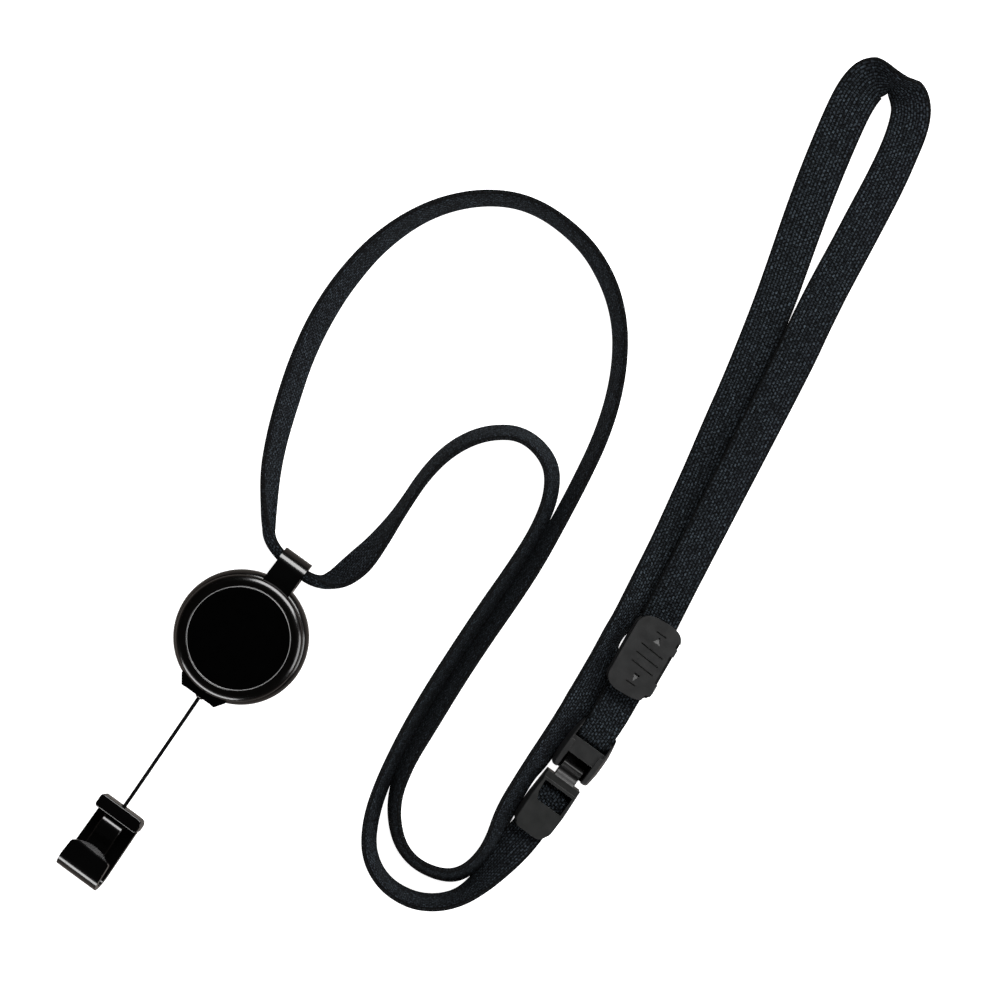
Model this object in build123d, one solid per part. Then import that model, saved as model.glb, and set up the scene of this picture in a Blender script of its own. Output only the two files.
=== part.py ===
from build123d import *
import math
import os

# Lanyard with a retractable badge reel, a breakaway buckle and a length adjuster.
# Millimetres. Origin: centre of the reel's back face. +Y runs from the reel's cord exit to its
# hanger loop, +Z is up from the surface that the lanyard lies on.

# ---- driving dimensions: strap ----
STRAP_WIDTH = 9.0
STRAP_THICK = 1.6
TUBE_DIAMETER = 2.4          # plain tube that holds the place of the soft strap
BUNCHED_Z = 3.9              # height of the strap where it runs through the hanger loop
LEG_Z = 4.2                  # height of the straight leg that carries the adjuster

# ---- driving dimensions: reel ----
HOUSING_RADIUS = 16.9
HOUSING_HEIGHT = 5.0
HOUSING_WALL = 1.7
HOUSING_FLOOR = 1.4
SPIGOT_LOW_Z = 4.1
COVER_RADIUS = 15.7
REEL_HEIGHT = 9.0
COVER_PLATE = 1.5
FACE_RADIUS = 12.9
FACE_RECESS = 0.5
POST_RADIUS = 1.6
RUNNING_GAP = 0.05
SPOOL_BOTTOM = 1.8
SPOOL_FLANGE = 0.6
SPOOL_WIDTH = 4.4
SPOOL_FLANGE_RADIUS = 12.7
DRUM_RADIUS = 9.0
DRUM_WALL = 0.8
CORD_DIAMETER = 0.8
CORD_Z = 4.0
SCREW_CIRCLE = 14.3
SCREW_SHANK = 0.6
SCREW_TOP = 6.5
SCREW_COUNT = 3

# ---- driving dimensions: hanger loop and cord exit ----
HANGER_WIDTH = 7.8
HANGER_END_Y = 24.8
HANGER_BAND = 1.3
HANGER_LOW_Z = 0.5
HANGER_HIGH_Z = 7.2
BOSS_END_Y = -17.8
BOSS_HALF_END = 4.9
BOSS_HALF_ROOT = 6.6
BUSH_LENGTH = 1.0
BUSH_RADIUS = 1.3
BEAD_RADIUS = 0.7
EXIT_X = 0.4                 # the cord leaves a little to one side of the centre line

# ---- driving dimensions: hook ----
HOOK_X = 1.95                # the hook hangs a little to one side of the reel's centre line
HOOK_Y = -50.95
HOOK_SLANT = 1.2             # degrees, the pull line's angle to the reel's centre line
HOOK_TILT = 7.0              # degrees, the hook lies a little on its edge
HOOK_LIFT = 0.75             # keeps its low edge on the surface
PLATE_WIDTH = 11.4
PLATE_THICK = 1.3
CURL_RADIUS = 3.7
CURL_WIDTH = 11.9
CURL_END_Y = -21.0
LIP_END_Y = -11.6
HEAD_WIDTH = 12.7
HEAD_LENGTH = 3.6
HEAD_HEIGHT = 5.6
TONGUE_WIDTH = 5.8
TONGUE_THICK = 0.9
GATE_PIN_Y = -2.7
GATE_PIN_Z = 3.0
GATE_PIN_RADIUS = 0.45

# ---- driving dimensions: adjuster ----
ADJUSTER_X = 83.7
ADJUSTER_Y = 55.1
ADJUSTER_SLANT = 6.0         # degrees
ADJUSTER_Z = 1.9
ADJUSTER_WIDTH = 12.5
ADJUSTER_LENGTH = 20.4
ADJUSTER_FLOOR = 1.0
ADJUSTER_SLOT = 2.6
ADJUSTER_COVER = 2.6
ADJUSTER_WALL = 0.75

# ---- driving dimensions: buckle ----
BUCKLE_X = 85.8
BUCKLE_LOW_Z = 0.0
BUCKLE_HEIGHT = 7.2
SOCKET_LOW_Y = 20.4
SOCKET_HIGH_Y = 33.6
SOCKET_HALF = 5.75
PLUG_LOW_Y = 2.8
PLUG_HIGH_Y = 18.7
PLUG_HALF = 5.3
PLUG_BAY = 4.35              # half the width inside the plug
TONGUE_HALF = 2.9
TONGUE_BAY = 3.7             # half the width between the socket's rails
STRAP_BAY = 4.65             # half the width where the strap enters
SOCKET_BAR_Y = 31.6
SOCKET_BAR_RADIUS = 0.9
PLUG_BAR_Y = 13.6
BUCKLE_PLATE = 1.3

# ---- the strap's route, chosen by hand: one loop from the socket's bar to the plug's bar ----
LEG_ROUTE = [
    (85.8, 33.6, LEG_Z), (85.4, 43.0, LEG_Z), (83.9, 54.5, LEG_Z), (70.9, 136.5, LEG_Z),
    (69.3, 146.0, 3.2)]
NECK_ROUTE = [
    (69.3, 146.0, 3.2), (67.5, 157.0, 2.4), (65.9, 166.5, 2.2), (64.4, 176.5, 2.2),
    (62.7, 187.0, 2.4), (60.6, 196.5, 3.0), (58.4, 202.6, 3.6), (55.0, 206.4, 4.2),
    (50.6, 207.2, 4.4), (46.9, 204.4, 4.2), (45.4, 198.5, 3.4), (46.6, 188.0, 2.6),
    (49.3, 177.0, 2.2), (52.1, 166.5, 2.0), (55.0, 156.5, 1.8), (58.0, 145.6, 1.6)]
LEFT_ROUTE = [
    (58.0, 145.6, 1.6), (60.9, 133.5, 1.5), (63.6, 123.0, 1.5), (65.8, 112.3, 1.5),
    (68.0, 101.8, 1.5), (69.7, 91.0, 1.5), (71.3, 80.2, 1.8), (72.8, 69.0, 2.8),
    (74.0, 57.5, 3.6), (74.9, 46.2, 4.0), (76.1, 34.6, 4.2), (76.9, 23.0, 4.0),
    (77.3, 13.0, 4.0), (77.8, 4.0, 4.2), (78.8, -4.0, 4.4)]
OUTER_ROUTE = [
    (78.8, -4.0, 4.4), (79.2, -10.5, 4.5), (77.9, -15.6, 4.5), (74.2, -18.9, 4.5),
    (67.6, -19.7, 4.5), (61.2, -17.4, 4.5), (54.9, -10.2, 4.5), (51.3, -0.8, 4.5),
    (49.8, 10.6, 4.5), (48.8, 22.1, 4.5), (48.3, 34.6, 4.5), (48.0, 47.6, 4.5),
    (47.7, 58.2, 4.5), (46.7, 70.0, 4.5), (45.3, 81.2, 4.5), (43.2, 92.0, 4.5),
    (40.0, 102.0, 4.5), (35.6, 111.0, 4.5), (29.5, 118.9, 4.5), (21.3, 125.2, 4.5),
    (10.5, 129.5, 4.5), (-4.0, 129.7, 4.5), (-15.0, 124.1, 4.5), (-24.6, 114.0, 4.4),
    (-29.5, 100.5, 4.3), (-31.2, 87.0, 4.2), (-30.3, 75.4, 4.1), (-28.3, 64.6, 4.0),
    (-25.3, 54.5, 3.9), (-21.6, 44.8, 3.8), (-17.3, 35.7, 3.8), (-12.0, 27.4, 3.9)]
HANGER_ROUTE = [
    (-12.0, 27.4, BUNCHED_Z), (-7.5, 22.4, BUNCHED_Z), (6.6, 21.5, BUNCHED_Z), (12.3, 26.0, BUNCHED_Z)]
INNER_ROUTE = [
    (12.3, 26.0, BUNCHED_Z), (15.0, 37.0, 4.2), (14.2, 48.2, 4.4), (12.0, 60.8, 4.5),
    (14.2, 69.4, 4.5), (19.5, 76.4, 4.5), (27.4, 80.3, 4.5), (36.0, 79.0, 4.5),
    (41.8, 73.0, 4.5), (44.2, 64.6, 4.5), (44.8, 54.6, 4.5), (44.7, 42.2, 4.5),
    (45.2, 29.6, 4.5), (46.0, 17.4, 4.5), (47.3, 5.8, 4.5), (49.8, -7.6, 4.5),
    (52.8, -17.4, 4.5), (57.6, -24.6, 4.5), (64.4, -28.0, 4.4), (71.8, -28.2, 4.2)]
TAIL_ROUTE = [
    (71.8, -28.2, 4.2), (77.6, -25.6, 4.0), (82.2, -20.4, 4.0), (84.9, -13.0, 4.0),
    (85.8, -5.0, 4.0), (85.8, PLUG_LOW_Y, 4.0)]

ARC_SHARE = 0.45             # share of the shorter run that each corner's arc takes


def slab(x_low, x_high, y_low, y_high, z_low, z_high):
    """A plain block between two corners."""
    size = (x_high - x_low, y_high - y_low, z_high - z_low)
    middle = ((x_high + x_low) / 2, (y_high + y_low) / 2, (z_high + z_low) / 2)
    return Pos(*middle) * Box(*size)


def disc(radius, z_low, z_high, x=0.0, y=0.0):
    """A round disc standing on z_low."""
    return Pos(x, y, (z_low + z_high) / 2) * Cylinder(radius, z_high - z_low)


def ring(outer, inner, z_low, z_high):
    return disc(outer, z_low, z_high) - disc(inner, z_low - 1, z_high + 1)


def side_profile(points, width, x_middle=0.0):
    """A closed outline given as (y, z) corners, made into a solid width wide along X."""
    outline = make_face(Polyline(*[(0, y, z) for y, z in points], close=True))
    solid = extrude(outline, amount=width / 2, dir=(1, 0, 0), both=True)
    return Pos(x_middle, 0, 0) * solid


# ---- strap -------------------------------------------------------------------------------------

def corner_radii(points):
    """The largest tangent arc that each corner's two runs allow."""
    radii = []
    for before, corner, after in zip(points, points[1:], points[2:]):
        run_in = Vector(*corner) - Vector(*before)
        run_out = Vector(*after) - Vector(*corner)
        turn = math.radians(run_in.get_angle(run_out))
        radii.append(ARC_SHARE * min(run_in.length, run_out.length) / math.tan(turn / 2))
    return radii


def between(first, second):
    return tuple((a + b) / 2 for a, b in zip(first, second))


def stretches(routes):
    """Each route as its own list, cut in the middle of the run just after a shared point."""
    lists = []
    for index, route in enumerate(routes):
        points = list(route)
        if index > 0:
            points[0] = between(route[0], route[1])
        if index < len(routes) - 1:
            following = routes[index + 1]
            points.append(between(following[0], following[1]))
        lists.append(points)
    return lists


def route_path(points):
    return FilletPolyline(*points, radius=corner_radii(points))


def strap_tube(name, points):
    """A plain tube along the route, with its volume compared with section times length."""
    path = route_path(points)
    section = Plane(origin=path @ 0, z_dir=path % 0) * Circle(TUBE_DIAMETER / 2)
    tube = sweep(section, path=path)
    expected = math.pi * TUBE_DIAMETER ** 2 / 4 * path.length
    radii = ", ".join(f"{r:.0f}" for r in corner_radii(points))
    print(f"{name}: length {path.length:.1f}, volume ratio {tube.volume / expected:.3f}, radii {radii}")
    return tube


def flat_leg(points):
    """The strap's straight leg, lying flat, with its true section."""
    path = route_path(points)
    face_plane = Plane(origin=path @ 0, x_dir=(1, 0, 0), z_dir=path % 0)
    leg = sweep(face_plane * Rectangle(STRAP_WIDTH, STRAP_THICK), path=path)
    print(f"strap_leg: length {path.length:.1f}, volume {leg.volume:.0f}")
    return leg


# ---- reel --------------------------------------------------------------------------------------

def screw_places():
    for index in range(SCREW_COUNT):
        angle = math.radians(90 + 180 / SCREW_COUNT + 360 * index / SCREW_COUNT)
        yield index + 1, SCREW_CIRCLE * math.cos(angle), SCREW_CIRCLE * math.sin(angle)


def rear_housing():
    """A shallow round cup with a rounded shoulder, a centre post and three screw holes."""
    cup = disc(HOUSING_RADIUS, 0, HOUSING_HEIGHT)
    cup = fillet(cup.edges().group_by(Axis.Z)[-1], 1.1)
    cup = fillet(cup.edges().group_by(Axis.Z)[0], 0.9)
    cup -= disc(HOUSING_RADIUS - HOUSING_WALL, HOUSING_FLOOR, HOUSING_HEIGHT + 1)
    cup += disc(POST_RADIUS, HOUSING_FLOOR - 0.2, REEL_HEIGHT - COVER_PLATE - 0.3)
    for _, x, y in screw_places():
        cup += disc(1.15, HOUSING_FLOOR - 0.2, SPIGOT_LOW_Z, x, y)
        cup -= disc(1.3, -1, 0.7, x, y)
        cup -= disc(SCREW_SHANK, 0, HOUSING_HEIGHT, x, y)
    cup -= Pos(0, -HOUSING_RADIUS, CORD_Z) * Rot(90, 0, 0) * Cylinder(0.8, 8)
    return cup


def front_cover():
    """The cap: a rounded bezel, a flat rim, a shallow recess for the face disc and a spigot."""
    cap = disc(COVER_RADIUS, HOUSING_HEIGHT, REEL_HEIGHT)
    cap = fillet(cap.edges().group_by(Axis.Z)[-1], 1.0)
    inner = HOUSING_RADIUS - HOUSING_WALL
    cap += disc(inner, SPIGOT_LOW_Z, HOUSING_HEIGHT + 0.1)
    cap -= disc(inner - 1.7, HOUSING_HEIGHT - 2, REEL_HEIGHT - COVER_PLATE)
    for _, x, y in screw_places():
        cap -= disc(SCREW_SHANK, SPIGOT_LOW_Z - 1, SCREW_TOP, x, y)
    cap -= disc(FACE_RADIUS, REEL_HEIGHT - FACE_RECESS, REEL_HEIGHT + 1)
    groove = ring(COVER_RADIUS - 1.15, COVER_RADIUS - 1.4, REEL_HEIGHT - 0.15, REEL_HEIGHT + 1)
    return cap - groove


def face_disc():
    """The flat inlay in the cover's recess."""
    inlay = disc(FACE_RADIUS - 0.12, REEL_HEIGHT - FACE_RECESS, REEL_HEIGHT - 0.12)
    return chamfer(inlay.edges().group_by(Axis.Z)[-1], 0.12)


def case_screw(x, y):
    """A small countersunk case screw with a cross recess, its head under the back face."""
    screw = disc(1.2, 0.2, 0.7, x, y) + disc(SCREW_SHANK, 0.6, SCREW_TOP, x, y)
    for angle in (0, 90):
        screw -= Pos(x, y, 0.2) * Rot(0, 0, angle) * Box(1.5, 0.32, 0.5)
    return screw


def spool():
    """A cup-shaped drum with two flanges; the flat spring sits in the cup."""
    top = SPOOL_BOTTOM + SPOOL_WIDTH
    body = disc(DRUM_RADIUS, SPOOL_BOTTOM, top)
    body += disc(SPOOL_FLANGE_RADIUS, SPOOL_BOTTOM, SPOOL_BOTTOM + SPOOL_FLANGE)
    body += disc(SPOOL_FLANGE_RADIUS, top - SPOOL_FLANGE, top)
    body -= disc(DRUM_RADIUS - DRUM_WALL, SPOOL_BOTTOM + SPOOL_FLANGE, top + 1)
    body -= disc(POST_RADIUS + RUNNING_GAP, SPOOL_BOTTOM - 1, top)
    return body


def cord_winding():
    """The cord's turns on the drum, as one closed ring."""
    low = SPOOL_BOTTOM + SPOOL_FLANGE
    return ring(DRUM_RADIUS + 2.4, DRUM_RADIUS, low, low + SPOOL_WIDTH - 2 * SPOOL_FLANGE)


def power_spring():
    """A flat spiral spring round the post, made of half turns about two centres."""
    pitch = 0.9
    ribbon = 0.3
    low = SPOOL_BOTTOM + SPOOL_FLANGE + 0.3
    coil = None
    for half_turn in range(11):
        inner = POST_RADIUS + 0.5 + half_turn * pitch / 2
        side = 1 if half_turn % 2 == 0 else -1
        turn = ring(inner + ribbon, inner, low, low + 2.6)
        turn &= slab(-20, 20, min(0, side * 20), max(0, side * 20), 0, 9)
        turn = Pos(side * -pitch / 4, 0, 0) * turn
        coil = turn if coil is None else coil + turn
    return coil


def hanger_loop():
    """A flat band that leaves the housing, bends over and comes back under the strap."""
    outside = side_profile([
        (HOUSING_RADIUS - 3, HANGER_LOW_Z), (HANGER_END_Y - 1.0, HANGER_LOW_Z),
        (HANGER_END_Y, HANGER_LOW_Z + 1.0), (HANGER_END_Y, HANGER_HIGH_Z - 1.6),
        (HANGER_END_Y - 0.5, HANGER_HIGH_Z - 0.5), (HANGER_END_Y - 1.6, HANGER_HIGH_Z),
        (HOUSING_RADIUS - 3, HANGER_HIGH_Z)], HANGER_WIDTH)
    tunnel = slab(-9, 9, HOUSING_RADIUS + 0.9, HANGER_END_Y - HANGER_BAND,
                  HANGER_LOW_Z + HANGER_BAND, HANGER_HIGH_Z - HANGER_BAND)
    band = outside - tunnel
    band -= disc(HOUSING_RADIUS, -1, HOUSING_HEIGHT)
    band -= disc(COVER_RADIUS, HOUSING_HEIGHT - 0.1, REEL_HEIGHT + 1)
    return band


def along_y(radius, y_high, y_low):
    """A round bar along Y, on the pull cord's line where it leaves the boss."""
    return Pos(EXIT_X, (y_high + y_low) / 2, CORD_Z) * Rot(90, 0, 0) * Cylinder(radius, y_high - y_low)


def exit_boss():
    """A trapezium block on the housing's edge that the pull cord runs out through."""
    outline = make_face(Polyline(
        (-BOSS_HALF_ROOT, -HOUSING_RADIUS + 3.2), (-BOSS_HALF_ROOT, -HOUSING_RADIUS + 1.5),
        (-BOSS_HALF_END, BOSS_END_Y), (BOSS_HALF_END, BOSS_END_Y),
        (BOSS_HALF_ROOT, -HOUSING_RADIUS + 1.5), (BOSS_HALF_ROOT, -HOUSING_RADIUS + 3.2), close=True))
    block = Pos(0, 0, 1.4) * extrude(outline, amount=4.4)
    block -= slab(-4.0, 4.0, BOSS_END_Y - 1, BOSS_END_Y + 0.55, 5.2, 9)
    block -= disc(HOUSING_RADIUS, -1, HOUSING_HEIGHT)
    block -= disc(COVER_RADIUS, HOUSING_HEIGHT - 0.1, REEL_HEIGHT)
    return block - along_y(BUSH_RADIUS, BOSS_END_Y + 4, BOSS_END_Y - 4)


def exit_bush():
    """The smooth eyelet in the boss, standing a little proud, with a seat for the stop bead."""
    start = -HOUSING_RADIUS - 0.1
    end = BOSS_END_Y - BUSH_LENGTH
    sleeve = along_y(BUSH_RADIUS, start, end) - along_y(CORD_DIAMETER / 2 + 0.1, start + 1, end - 1)
    return sleeve - along_y(BEAD_RADIUS + 0.08, BOSS_END_Y, end - 1)


# ---- hook, built with its head's end at the origin and its length along -Y ---------------------

def hook_place():
    return Pos(HOOK_X, HOOK_Y, HOOK_LIFT) * Rot(0, 0, HOOK_SLANT) * Rot(0, -HOOK_TILT, 0)


def hook_body():
    """Back plate and round curl in one piece, with a lip that points back to the head."""
    centre_y = CURL_END_Y + CURL_RADIUS
    top = 2 * CURL_RADIUS
    plate = slab(-PLATE_WIDTH / 2, PLATE_WIDTH / 2, centre_y, -0.6, 0, PLATE_THICK)
    half = Rot(0, 90, 0) * Cylinder(CURL_RADIUS, CURL_WIDTH)
    half -= Rot(0, 90, 0) * Cylinder(CURL_RADIUS - PLATE_THICK, CURL_WIDTH + 2)
    half &= slab(-20, 20, -20, 0, -20, 20)
    curl = Pos(0, centre_y, CURL_RADIUS) * half
    lip = side_profile([
        (centre_y, top), (centre_y + 2.6, top - 0.1), (LIP_END_Y, top - 1.7),
        (LIP_END_Y - 0.2, top - 2.2), (centre_y + 2.4, top - 1.5), (centre_y, top - PLATE_THICK)],
        CURL_WIDTH)
    outline = Pos(0, LIP_END_Y - 9.6, 0) * Cylinder(9.6, 40)
    lip &= outline
    return plate + curl + lip


def hook_head():
    """The cross bar that the pull cord is tied into."""
    head = slab(-HEAD_WIDTH / 2, HEAD_WIDTH / 2, -HEAD_LENGTH, 0, PLATE_THICK, HEAD_HEIGHT)
    head = fillet(head.edges().filter_by(Axis.Z), 0.9)
    head = chamfer(head.edges().group_by(Axis.Z)[-1], 0.35)
    head -= Pos(-0.3, 0, 3.1) * Rot(90, 0, 0) * Cylinder(0.7, 2 * HEAD_LENGTH + 2)
    half_slot = TONGUE_WIDTH / 2 + 0.4
    head -= slab(-half_slot, half_slot, -HEAD_LENGTH - 1, GATE_PIN_Y + 1.4, PLATE_THICK, 4.6)
    return head


def across(y, z, radius, width):
    """A round bar along X through (y, z)."""
    return Pos(0, y, z) * Rot(0, 90, 0) * Cylinder(radius, width)


def hook_tongue():
    """The sprung gate: a bowed strip from an eye under the head to the inside of the lip."""
    upper = [(-2.7, 3.9), (-4.2, 4.6), (-6.0, 4.95), (-8.0, 4.8), (-11.0, 4.55), (-13.4, 4.7), (-14.6, 5.1)]
    lower = [(y, z - TONGUE_THICK) for y, z in reversed(upper)]
    strip = side_profile(upper + lower, TONGUE_WIDTH)
    strip += across(GATE_PIN_Y, GATE_PIN_Z, GATE_PIN_RADIUS + 0.5, TONGUE_WIDTH)
    return strip - across(GATE_PIN_Y, GATE_PIN_Z, GATE_PIN_RADIUS + RUNNING_GAP, TONGUE_WIDTH + 1)


def hook_pin():
    """The pin under the head that the gate turns on."""
    return across(GATE_PIN_Y, GATE_PIN_Z, GATE_PIN_RADIUS, TONGUE_WIDTH + 0.8)


def cord_knot():
    """The cord's knot inside the head."""
    return Pos(-0.3, -1.0, 3.1) * Sphere(0.66)


# ---- adjuster, built about its own centre with the strap along Y --------------------------------

def adjuster_place():
    return Pos(ADJUSTER_X, ADJUSTER_Y, ADJUSTER_Z) * Rot(0, 0, ADJUSTER_SLANT)


def adjuster_outline(inset):
    """Plan outline: straight sides, large corner radii and slightly bowed ends."""
    half_width = ADJUSTER_WIDTH / 2 - inset
    half_length = ADJUSTER_LENGTH / 2 - inset
    shoulder = half_length - 1.1
    right = Line((half_width, -shoulder), (half_width, shoulder))
    top = ThreePointArc((half_width, shoulder), (0, half_length), (-half_width, shoulder))
    left = Line((-half_width, shoulder), (-half_width, -shoulder))
    low = ThreePointArc((-half_width, -shoulder), (0, -half_length), (half_width, -shoulder))
    face = make_face(Curve() + [right, top, left, low])
    return fillet(face.vertices(), 3.4)


def adjuster_body():
    """Lower shell: a floor and two side walls that guide the strap."""
    height = ADJUSTER_FLOOR + ADJUSTER_SLOT
    shell = extrude(adjuster_outline(0), amount=height)
    half_slot = ADJUSTER_WIDTH / 2 - ADJUSTER_WALL
    shell -= slab(-half_slot, half_slot, -20, 20, ADJUSTER_FLOOR, height + 1)
    return chamfer(shell.edges().group_by(Axis.Z)[0], 0.3)


def adjuster_cover():
    """Upper plate with grip grooves, direction marks and notches in one long edge."""
    low = ADJUSTER_FLOOR + ADJUSTER_SLOT
    top = low + ADJUSTER_COVER
    plate = extrude(Pos(0, 0, low) * adjuster_outline(0), amount=ADJUSTER_COVER)
    plate = chamfer(plate.edges().group_by(Axis.Z)[-1], 0.9)
    for y in (-2.45, 0, 2.45):
        plate -= slab(-3.3, 3.3, y - 0.16, y + 0.16, top - 0.4, top + 1)
    for side in (-1, 1):
        mark = make_face(Polyline((-0.95, side * 4.5), (0.95, side * 4.5), (0, side * 6.4), close=True))
        plate -= Pos(0, 0, top - 0.3) * extrude(mark, amount=2)
        plate -= slab(-1.35, 1.35, side * 7.1 - 0.15, side * 7.1 + 0.15, top - 0.3, top + 1)
    edge = ADJUSTER_WIDTH / 2
    plate -= slab(edge - 1.35, edge + 1, -5.2, 1.6, low + 0.9, top + 1)
    plate -= slab(edge - 1.1, edge + 1, 4.6, 6.6, low + 0.9, top + 1)
    return plate


def adjuster_grip():
    """A ribbed rubber pad under the cover that drags on the strap."""
    low = ADJUSTER_FLOOR + ADJUSTER_SLOT
    return slab(-4.2, 4.2, -4.0, 4.0, low - 0.2, low)


# ---- breakaway buckle ---------------------------------------------------------------------------

def bowed_block(half_width, y_low, y_high, z_low, z_high, bow):
    """A block whose long sides bow outward by bow at the middle."""
    middle = (y_low + y_high) / 2
    near = half_width - bow
    right = ThreePointArc((near, y_low), (half_width, middle), (near, y_high))
    far = Line((near, y_high), (-near, y_high))
    left = ThreePointArc((-near, y_high), (-half_width, middle), (-near, y_low))
    close = Line((-near, y_low), (near, y_low))
    face = make_face(Curve() + [right, far, left, close])
    return Pos(BUCKLE_X, 0, z_low) * extrude(face, amount=z_high - z_low)


def buckle_socket():
    """Upper half: two bowed rails, a back plate and a bridge over the tongue."""
    top = BUCKLE_LOW_Z + BUCKLE_HEIGHT
    low = BUCKLE_LOW_Z + BUCKLE_PLATE
    x = BUCKLE_X
    shape = bowed_block(SOCKET_HALF, SOCKET_LOW_Y, SOCKET_HIGH_Y, BUCKLE_LOW_Z, top, 0.35)
    shape -= slab(x - TONGUE_BAY, x + TONGUE_BAY, SOCKET_LOW_Y - 1, SOCKET_HIGH_Y, low, top + 1)
    shape -= slab(x - STRAP_BAY, x + STRAP_BAY, 28.4, SOCKET_HIGH_Y + 1, low, top + 1)
    return shape + slab(x - STRAP_BAY, x + STRAP_BAY, 25.4, 29.5, top - 1.5, top - 0.3)


def socket_bar():
    """The round bar that the strap's end is sewn round."""
    return Pos(BUCKLE_X, 0, 0) * across(SOCKET_BAR_Y, LEG_Z, SOCKET_BAR_RADIUS, 2 * STRAP_BAY)


def buckle_plug():
    """Lower half: back plate, side rails, a rounded front plate and the front bar."""
    top = BUCKLE_LOW_Z + BUCKLE_HEIGHT - 0.3
    x = BUCKLE_X
    low_z = BUCKLE_LOW_Z + BUCKLE_PLATE
    shape = bowed_block(PLUG_HALF, PLUG_LOW_Y, PLUG_HIGH_Y, BUCKLE_LOW_Z, top, 0.5)
    corners = shape.edges().filter_by(Axis.Z).group_by(Axis.Y)[0]
    shape = fillet(corners, 2.0)
    shape -= slab(x - PLUG_BAY, x + PLUG_BAY, PLUG_LOW_Y - 1, 16.4, low_z, top - BUCKLE_PLATE)
    shape -= slab(x - PLUG_BAY, x + PLUG_BAY, 11.0, 16.4, low_z, top + 1)
    shape -= slab(x - 9, x + 9, 16.4, PLUG_HIGH_Y + 1, top - 0.9, top + 1)
    return shape


def plug_bar():
    """The round bar across the plug's window."""
    return Pos(BUCKLE_X, 0, 0) * across(PLUG_BAR_Y, 3.4, 0.8, 2 * PLUG_BAY)


def plug_tongue():
    """The saddle-shaped tongue that snaps under the socket's bridge."""
    base_y = PLUG_HIGH_Y
    blade = side_profile([
        (base_y, 2.4), (base_y, 6.0), (base_y + 1.6, 4.8), (base_y + 2.8, 4.8), (base_y + 3.6, 5.2),
        (base_y + 4.2, 4.0), (base_y + 8.3, 3.7), (base_y + 8.3, 2.4)], 2 * TONGUE_HALF, BUCKLE_X)
    return fillet(blade.edges().filter_by(Axis.X).group_by(Axis.Y)[-1], 0.4)


def strap_in_plug():
    """The strap's end inside the plug, folded on itself round the bar."""
    return slab(BUCKLE_X - PLUG_BAY, BUCKLE_X + PLUG_BAY, PLUG_LOW_Y, PLUG_BAR_Y - 0.8, 3.0, 5.2)


def strap_in_socket():
    """The strap's end inside the socket, wrapped round the bar."""
    width = 2 * STRAP_BAY - 0.3
    wrap = across(SOCKET_BAR_Y, LEG_Z, SOCKET_HIGH_Y - SOCKET_BAR_Y, width)
    return Pos(BUCKLE_X, 0, 0) * (wrap - across(SOCKET_BAR_Y, LEG_Z, SOCKET_BAR_RADIUS, width + 1))


def pull_cord():
    """The straight thin cord from the reel's boss to the hook's head."""
    start = Vector(EXIT_X, BOSS_END_Y + 0.5, CORD_Z)
    end = hook_place().position + Vector(-0.6, -0.2, 3.05)
    line = Line(start, end)
    section = Plane(origin=start, z_dir=end - start) * Circle(CORD_DIAMETER / 2)
    return sweep(section, path=line)


def cord_stop():
    """A crimped bead on the cord, which stops it in the bush's seat."""
    low = BOSS_END_Y - BUSH_LENGTH + 0.05
    high = BOSS_END_Y - 0.08
    return along_y(BEAD_RADIUS, high, low) - along_y(CORD_DIAMETER / 2 + 0.08, high + 1, low - 1)


def build():
    routes = [LEG_ROUTE, NECK_ROUTE, LEFT_ROUTE, OUTER_ROUTE, HANGER_ROUTE, INNER_ROUTE, TAIL_ROUTE]
    names = ["strap_leg", "strap_neck", "strap_left_leg", "strap_outer_run", "strap_in_hanger",
             "strap_inner_run", "strap_tail"]
    nodes = {}
    for name, points in zip(names, stretches(routes)):
        nodes[name] = flat_leg(points) if name == "strap_leg" else strap_tube(name, points)
    nodes["rear_housing"] = rear_housing()
    nodes["front_cover"] = front_cover()
    nodes["face_disc"] = face_disc()
    for number, x, y in screw_places():
        nodes[f"case_screw_{number}"] = case_screw(x, y)
    nodes["spool"] = spool()
    nodes["cord_winding"] = cord_winding()
    nodes["power_spring"] = power_spring()
    nodes["hanger_loop"] = hanger_loop()
    nodes["exit_boss"] = exit_boss()
    nodes["exit_bush"] = exit_bush()
    for name, shape in (("hook_body", hook_body()), ("hook_head", hook_head()),
                        ("hook_tongue", hook_tongue()), ("hook_pin", hook_pin()),
                        ("cord_knot", cord_knot())):
        nodes[name] = hook_place() * shape
    for name, shape in (("adjuster_body", adjuster_body()), ("adjuster_cover", adjuster_cover()),
                        ("adjuster_grip", adjuster_grip())):
        nodes[name] = adjuster_place() * shape
    nodes["buckle_socket"] = buckle_socket()
    nodes["socket_bar"] = socket_bar()
    nodes["buckle_plug"] = buckle_plug()
    nodes["plug_bar"] = plug_bar()
    nodes["plug_tongue"] = plug_tongue()
    nodes["strap_in_plug"] = strap_in_plug()
    nodes["strap_in_socket"] = strap_in_socket()
    nodes["pull_cord"] = pull_cord()
    nodes["cord_stop"] = cord_stop()
    return nodes


os.makedirs("parts", exist_ok=True)
for node_name, node_shape in build().items():
    export_step(node_shape, f"parts/{node_name}.step")
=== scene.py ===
import math

import bpy
import bmesh
from mathutils import Matrix, Vector


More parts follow.
